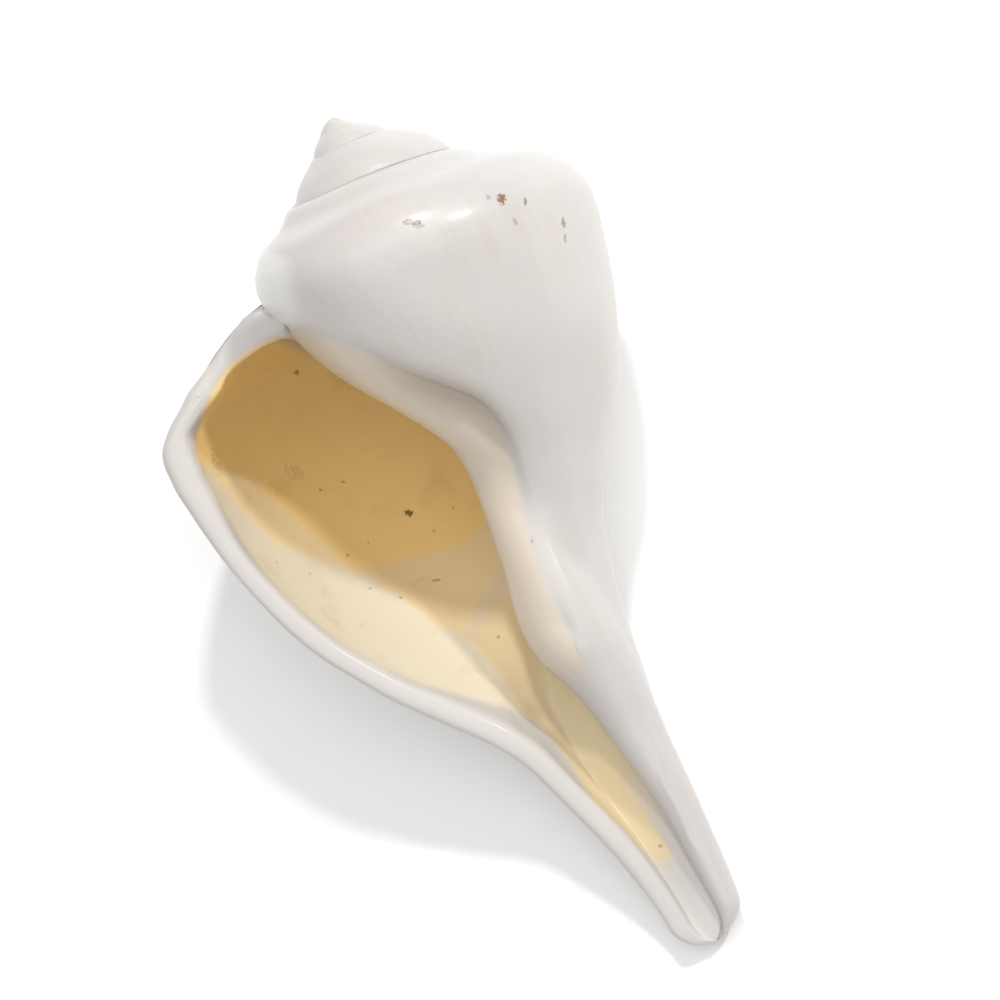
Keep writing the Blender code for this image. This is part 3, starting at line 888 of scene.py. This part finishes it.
# %% Places of the marks
# kind of mark, which names its colour: (picture x, y, radius or radii across and down in mm,
# strength)
MARKS = {
    "brown": [
        (217, 463, 1.3, 2.2, 0.45), (292, 471, 1.9, 1.5, 0.35), (297, 372, 0.5, 0.7),
        (242, 395, 0.3, 0.5), (381, 421, 0.35, 0.6), (320, 490, 0.35, 0.6), (343, 482, 0.3, 0.5),
        (347, 555, 0.35, 0.5), (368, 543, 0.3, 0.5), (434, 530, 0.3, 0.5), (454, 508, 0.35, 0.5),
        (370, 589, 0.35, 0.5), (401, 597, 0.3, 0.5), (309, 574, 0.3, 0.4), (277, 562, 0.3, 0.4),
        (498, 637, 0.35, 0.5), (532, 541, 0.3, 0.4), (436, 580, 0.7, 0.3, 0.6)],
    "olive": [(409, 513, 0.6, 0.95)],
    "pit": [
        (502, 198, 0.65, 1.1, 0.95), (526, 201, 0.3, 0.65, 0.75), (563, 223, 0.35, 0.8, 0.75),
        (565, 238, 0.22, 0.7, 0.55), (488, 197, 0.5, 0.4, 0.35), (515, 222, 0.4, 0.6, 0.4),
        (411, 222, 1.3, 0.5, 0.45), (418, 226, 0.9, 0.4, 0.35), (660, 846, 0.3, 0.5)],
}
SIGHT_RADIUS = 1.4


def on_surface(pixel):
    """The place in the part's frame, in metres, that the camera sees at this pixel."""
    target = from_picture([pixel])[0]
    close = np.flatnonzero(((places - target) ** 2).sum(1) < SIGHT_RADIUS**2)
    front = points[close, 1].min()
    close = close[points[close, 1] < front + 2 * SIGHT_RADIUS]
    nearest = close[((places[close] - target) ** 2).sum(1).argmin()]
    away = points[nearest, 1]
    flat = np.array([target[0], 0.0, -target[1]])
    own = LOOK_AT + (flat - LOOK_AT) * (CAMERA_AWAY + away) / CAMERA_AWAY
    own[1] = away
    return to_part(own)


placed = [(kind, on_surface((x, y)), radii[0], radii[-1], strength)
          for kind, group in MARKS.items() for x, y, *radii, strength in group]
print("spots and pits placed:", len(placed))

# %% [markdown]
# ## Make the piece
#
# One mesh takes the points and faces, and its object stays at the origin. Turns and depth become
# a UV map, for patterns that follow the spiral, and the masks become attributes.

# %% The shell's mesh
ATTRIBUTES = {
    "gold_and_painted_light": (gold_at, lit_tan_at, lit_cream_at),
    "edge_tones": (painted_bounce_at, glaze_at, canal_at),
    "dash_line_and_hollow_shade": (dash_from_at, dash_share_at, hollow_shade_at),
    "girth": (girth(),) * 3,
}

mesh = bpy.data.meshes.new("whelk_shell")
mesh.from_pydata(in_box(laid).tolist(), [], faces.tolist())
mesh.shade_smooth()
spiral = mesh.uv_layers.new(name="spiral")
spiral.data.foreach_set("uv", corner_marks[..., :2].reshape(-1).astype(np.float32))
for name, masks in ATTRIBUTES.items():
    layer = mesh.attributes.new(name, "FLOAT_VECTOR", "POINT")
    layer.data.foreach_set("vector", np.stack(masks, -1).reshape(-1).astype(np.float32))
shell = add_object("whelk_shell", mesh)
print("mesh:", len(shell.data.vertices), "points,", len(shell.data.polygons), "faces")

# %% [markdown]
# ## Arithmetic with sockets
#
# A pattern is a sum or a product of simple fields. A small class wraps an output socket, so that
# such a sum is one line of Python, and each operator adds its Math node.

# %% A class that writes shader maths
class Wire:
    """One output socket of a node, in the tree that is being built."""

    tree = None

    def __init__(self, socket):
        self.socket = socket

    @classmethod
    def node(cls, kind, inputs, output=0, **settings):
        """A node of this kind: its settings first, then a value or a link for each socket."""
        made = cls.tree.nodes.new("ShaderNode" + kind)
        for name, value in settings.items():
            setattr(made, name, value)
        for name, value in inputs.items():
            if isinstance(value, Wire):
                cls.tree.links.new(value.socket, made.inputs[name])
            else:
                made.inputs[name].default_value = value
        return cls(made.outputs[output])

    def __add__(self, other):
        return maths("ADD", self, other)

    def __mul__(self, other):
        return maths("MULTIPLY", self, other)

    def __sub__(self, other):
        return maths("SUBTRACT", self, other)

    def __rsub__(self, other):
        return maths("SUBTRACT", other, self)

    def __rpow__(self, other):
        return maths("POWER", other, self)

    __radd__, __rmul__ = __add__, __mul__


def maths(operation, *values):
    return Wire.node("Math", dict(enumerate(values)), operation=operation)


def step(value, low, high):
    """0 where the value is at low, 1 where it is at high, and a smooth step between."""
    inputs = {0: value, 1: low, 2: high}
    return Wire.node("MapRange", inputs, interpolation_type="SMOOTHSTEP")


def mix(first, second, share):
    """From the first colour to the second by the share."""
    return Wire.node("Mix", {0: share, 6: first, 7: second}, output=2, data_type="RGBA")


def noise(vector, scale, detail=3.0, roughness=0.55):
    """Cloudy noise about 0.5."""
    inputs = {"Vector": vector, "Scale": scale, "Detail": detail, "Roughness": roughness}
    return Wire.node("TexNoise", inputs)


def parts(vector):
    """The three numbers of a vector."""
    return [Wire.node("SeparateXYZ", {0: vector}, output=n) for n in range(3)]


def joined(x, y, z=0.0):
    """A vector from three numbers."""
    return Wire.node("CombineXYZ", {0: x, 1: y, 2: z})


def masks_of(name):
    """The three masks that the mesh carries under this name."""
    return parts(Wire.node("Attribute", {}, output=1, attribute_name=name))


def paint(red, green, blue):
    """A colour as a screen shows it, 0 to 255, made linear for the shader."""
    screen = np.array([red, green, blue]) / 255
    linear = np.where(screen <= 0.04045, screen / 12.92, ((screen + 0.055) / 1.055) ** 2.4)
    return (*linear.tolist(), 1.0)


print("middle grey as the shader takes it:", round(paint(128, 128, 128)[0], 3))

# %% [markdown]
# ## The finish of worn shell
#
# Bleached shell is white with faint tan, pink and grey clouds, drawn out along the growth lines.
# The inside keeps its glaze and its gold, which fades to tan and cream towards the lip: painted
# light, where the main panels shine in.

# %% Colours
ON_SCREEN = {
    "white": (190, 186, 182), "pink": (190, 183, 181), "tan_cloud": (187, 179, 169),
    # Tan and cream are painted light: lighter copies of the gold where the panels shine in
    "grey": (183, 182, 183), "gold": (242, 208, 138), "lit_tan": (234, 210, 164),
    # Peach is painted warm light, reflected from the gold inside
    "lit_cream": (218, 208, 186), "peach": (200, 187, 170), "glaze": (208, 206, 203),
    "yellow": (210, 193, 157), "brown": (126, 92, 64), "olive": (118, 98, 52),
    "pit": (126, 92, 64), "dirt": (196, 160, 104), "dash": (170, 142, 112),
    # The warm grey for the valley is painted shade
    "lip": (192, 188, 184), "dust": (150, 136, 120),
}
PAINTS = {name: paint(*levels) for name, levels in ON_SCREEN.items()}
# Patches to the metre in each kind of noise, and growth lines to the turn
PINK_SCALE, GREY_SCALE, STAIN_SCALE, DIRT_SCALE = 38.0, 24.0, 70.0, 120.0
GROWTH_LINES, LINE_DEPTH = 120.0, 0.02
CLOUD_SHARE, DIRT_SHARE = 0.8, 0.22


def outside_colour(place, spiral, girth):
    """White with pink, tan and grey clouds: the clouds are noise on the place and the spiral."""
    lines = noise(joined(spiral[0] * GROWTH_LINES, spiral[1] * LINE_DEPTH), 1.0, 4.0, 0.6)
    colour = mix(PAINTS["white"], PAINTS["pink"], step(noise(place, PINK_SCALE), 0.45, 0.7))
    grey = step(noise(place, GREY_SCALE, 2.0), 0.5, 0.75)
    colour = mix(colour, PAINTS["grey"], grey * CLOUD_SHARE)
    stains = step(lines * noise(place, STAIN_SCALE) * 2, 0.48, 0.8) * girth
    return mix(colour, PAINTS["tan_cloud"], stains * CLOUD_SHARE), lines * girth


def inside_colour(place, lit_tan, lit_cream, canal):
    """Gold and yellow, with tan and cream as painted light over the gold, dulled by fine specks of
    dirt.
    """
    colour = PAINTS["gold"]
    for name, share in (("lit_tan", lit_tan), ("lit_cream", lit_cream), ("yellow", canal)):
        colour = mix(colour, PAINTS[name], share)
    specks = step(noise(place, DIRT_SCALE, 5.0, 0.7), 0.52, 0.72)
    return mix(colour, PAINTS["dirt"], specks * DIRT_SHARE)


print("paints:", ", ".join(PAINTS))

# %% [markdown]
# ## Spots, pits and dashes
#
# The ball of a spot is stretched across and down the picture, so the place on the shell is first
# measured along those directions. Noise on the ball's radius makes its edge ragged.

# %% Marks
RAGGED_SCALE, RAGGED_SIZE = 1900.0, 2.8
SPECKLE_SCALE, SPECKLED_FROM = 2600.0, 1.0
BALL_INNER, BALL_OUTER = 0.75, 1.15
DASHES_ALONG, DASH_INNER, DASH_OUTER, DASH_SHARE = 40, 0.15, 0.45, 0.8
AXES_IN_PART = picture_axes @ LAID.T


def mark_mask(turned, wobble, centre, across, down):
    """1 within a ball that is stretched across and down the picture, with a ragged edge."""
    middle = tuple(AXES_IN_PART @ centre)
    sizes = np.array([across, down, max(across, down)]) * MM
    away = Wire.node("VectorMath", {0: turned, 1: middle}, operation="SUBTRACT")
    scaled = Wire.node("VectorMath", {0: away, 1: tuple(1 / sizes)}, operation="MULTIPLY")
    length = Wire.node("VectorMath", {0: scaled}, output=1, operation="LENGTH")
    return 1 - step(length + wobble, BALL_INNER, BALL_OUTER)


def add_marks(colour, place):
    """The colour with spots and pits painted over it, and the mask of each pit."""
    turned = joined(*[Wire.node("VectorMath", {0: place, 1: tuple(axis)}, output=1,
                                operation="DOT_PRODUCT") for axis in AXES_IN_PART])
    wobble = noise(place, RAGGED_SCALE, 3.0) * RAGGED_SIZE - RAGGED_SIZE / 2
    speckle = step(noise(place, SPECKLE_SCALE, 2.0), 0.42, 0.62)
    pits = []
    for kind, centre, across, down, strength in placed:
        mask = mark_mask(turned, wobble, centre, across, down) * strength
        if kind == "pit":
            pits.append(mask)
        elif across > SPECKLED_FROM:
            mask = mask * speckle
        colour = mix(colour, PAINTS[kind], mask)
    return colour, pits


def add_dashes(colour, dash_from, dash_share):
    """The colour with a broken brown line on the lip's outer face."""
    dashes = step(noise(joined(dash_share * DASHES_ALONG, 0.0), 1.0, 2.0), 0.5, 0.6)
    line = (1 - step(maths("ABSOLUTE", dash_from), DASH_INNER, DASH_OUTER)) * dashes
    return mix(colour, PAINTS["dash"], line * DASH_SHARE)


print("marks to paint:", ", ".join(MARKS))

# %% [markdown]
# ## The material
#
# The masks lay one colour over the other, from the outside inwards. One bump makes the relief
# that is too fine for the mesh. The polish is rougher in the pores, on the gold and on the lip.

# %% The material
RIPPLE_SCALE, PORE_SCALE, GLOSS_SCALE = 260.0, 900.0, 60.0
STRIAE_PER_TURN, STRIAE_PER_MM = 6, 2.2
BUMP_DISTANCE, BUMP_STRENGTH = 0.00012, 0.6
LIP_TURNS, LIP_TURNS_END = 0.03, 0.06
# How much of each colour covers what is below it
LIP_SHARE, BOUNCE_SHARE, HOLLOW_SHADE_SHARE = 0.8, 0.9, 0.75
COAT, COAT_ROUGHNESS, SPECULAR = 0.28, 0.12, 0.5


def relief_height(place, spiral, lines, pores, pits, girth):
    """Growth lines, striae that follow the whorls, ripples, pores and pits, added up."""
    follow = joined(spiral[0] * STRIAE_PER_TURN, spiral[1] * (GROWTH ** spiral[0]) * STRIAE_PER_MM)
    striae = noise(follow, 1.0, 3.0) * girth
    height = lines * 0.5 + striae * 0.5 - pores * 0.35 + noise(place, RIPPLE_SCALE, 4.0) * 0.6
    for pit in pits:
        height = height - pit * 2.5
    return height


def make_finish():
    """Colour, gloss and a fine relief for the whole shell, from its masks and its place."""
    material, shader = new_material("worn_shell")
    Wire.tree = material.node_tree
    place = Wire.node("TexCoord", {}, output=3)
    spiral = parts(Wire.node("UVMap", {}, uv_map="spiral"))
    gold, lit_tan, lit_cream = masks_of("gold_and_painted_light")
    peach, glaze, canal = masks_of("edge_tones")
    dash_from, dash_share, dust = masks_of("dash_line_and_hollow_shade")
    girth = masks_of("girth")[0]
    lip = 1 - step(spiral[0], LIP_TURNS, LIP_TURNS_END)
    pores = step(noise(place, PORE_SCALE, 2.0), 0.62, 0.75)

    colour, lines = outside_colour(place, spiral, girth)
    # The peach band is painted warm light, and the valley's warm grey is painted shade
    for name, share in (("lip", lip * LIP_SHARE), ("glaze", glaze),
                        ("peach", peach * BOUNCE_SHARE), ("dust", dust * HOLLOW_SHADE_SHARE)):
        colour = mix(colour, PAINTS[name], share)
    colour = mix(colour, inside_colour(place, lit_tan, lit_cream, canal), gold)
    colour, pits = add_marks(add_dashes(colour, dash_from, dash_share), place)

    height = relief_height(place, spiral, lines, pores, pits, girth)
    fine = {"Height": height, "Distance": BUMP_DISTANCE, "Strength": BUMP_STRENGTH}
    bumped = Wire.node("Bump", fine)
    gloss = 0.42 - noise(place, GLOSS_SCALE) * 0.16 + pores * 0.2 + gold * 0.14 + lip * 0.2
    coat = COAT * (1 - lip * 0.8) * (1 - gold * 0.6)
    made = {"Base Color": colour, "Roughness": gloss, "Coat Weight": coat, "Normal": bumped}
    for name, wire in made.items():
        Wire.tree.links.new(wire.socket, shader.inputs[name])
    shader.inputs["Coat Roughness"].default_value = COAT_ROUGHNESS
    shader.inputs["Specular IOR Level"].default_value = SPECULAR
    return material


shell.data.materials.append(make_finish())
print("nodes in the finish:", len(Wire.tree.nodes))
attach(shell, "root")
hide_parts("shell")
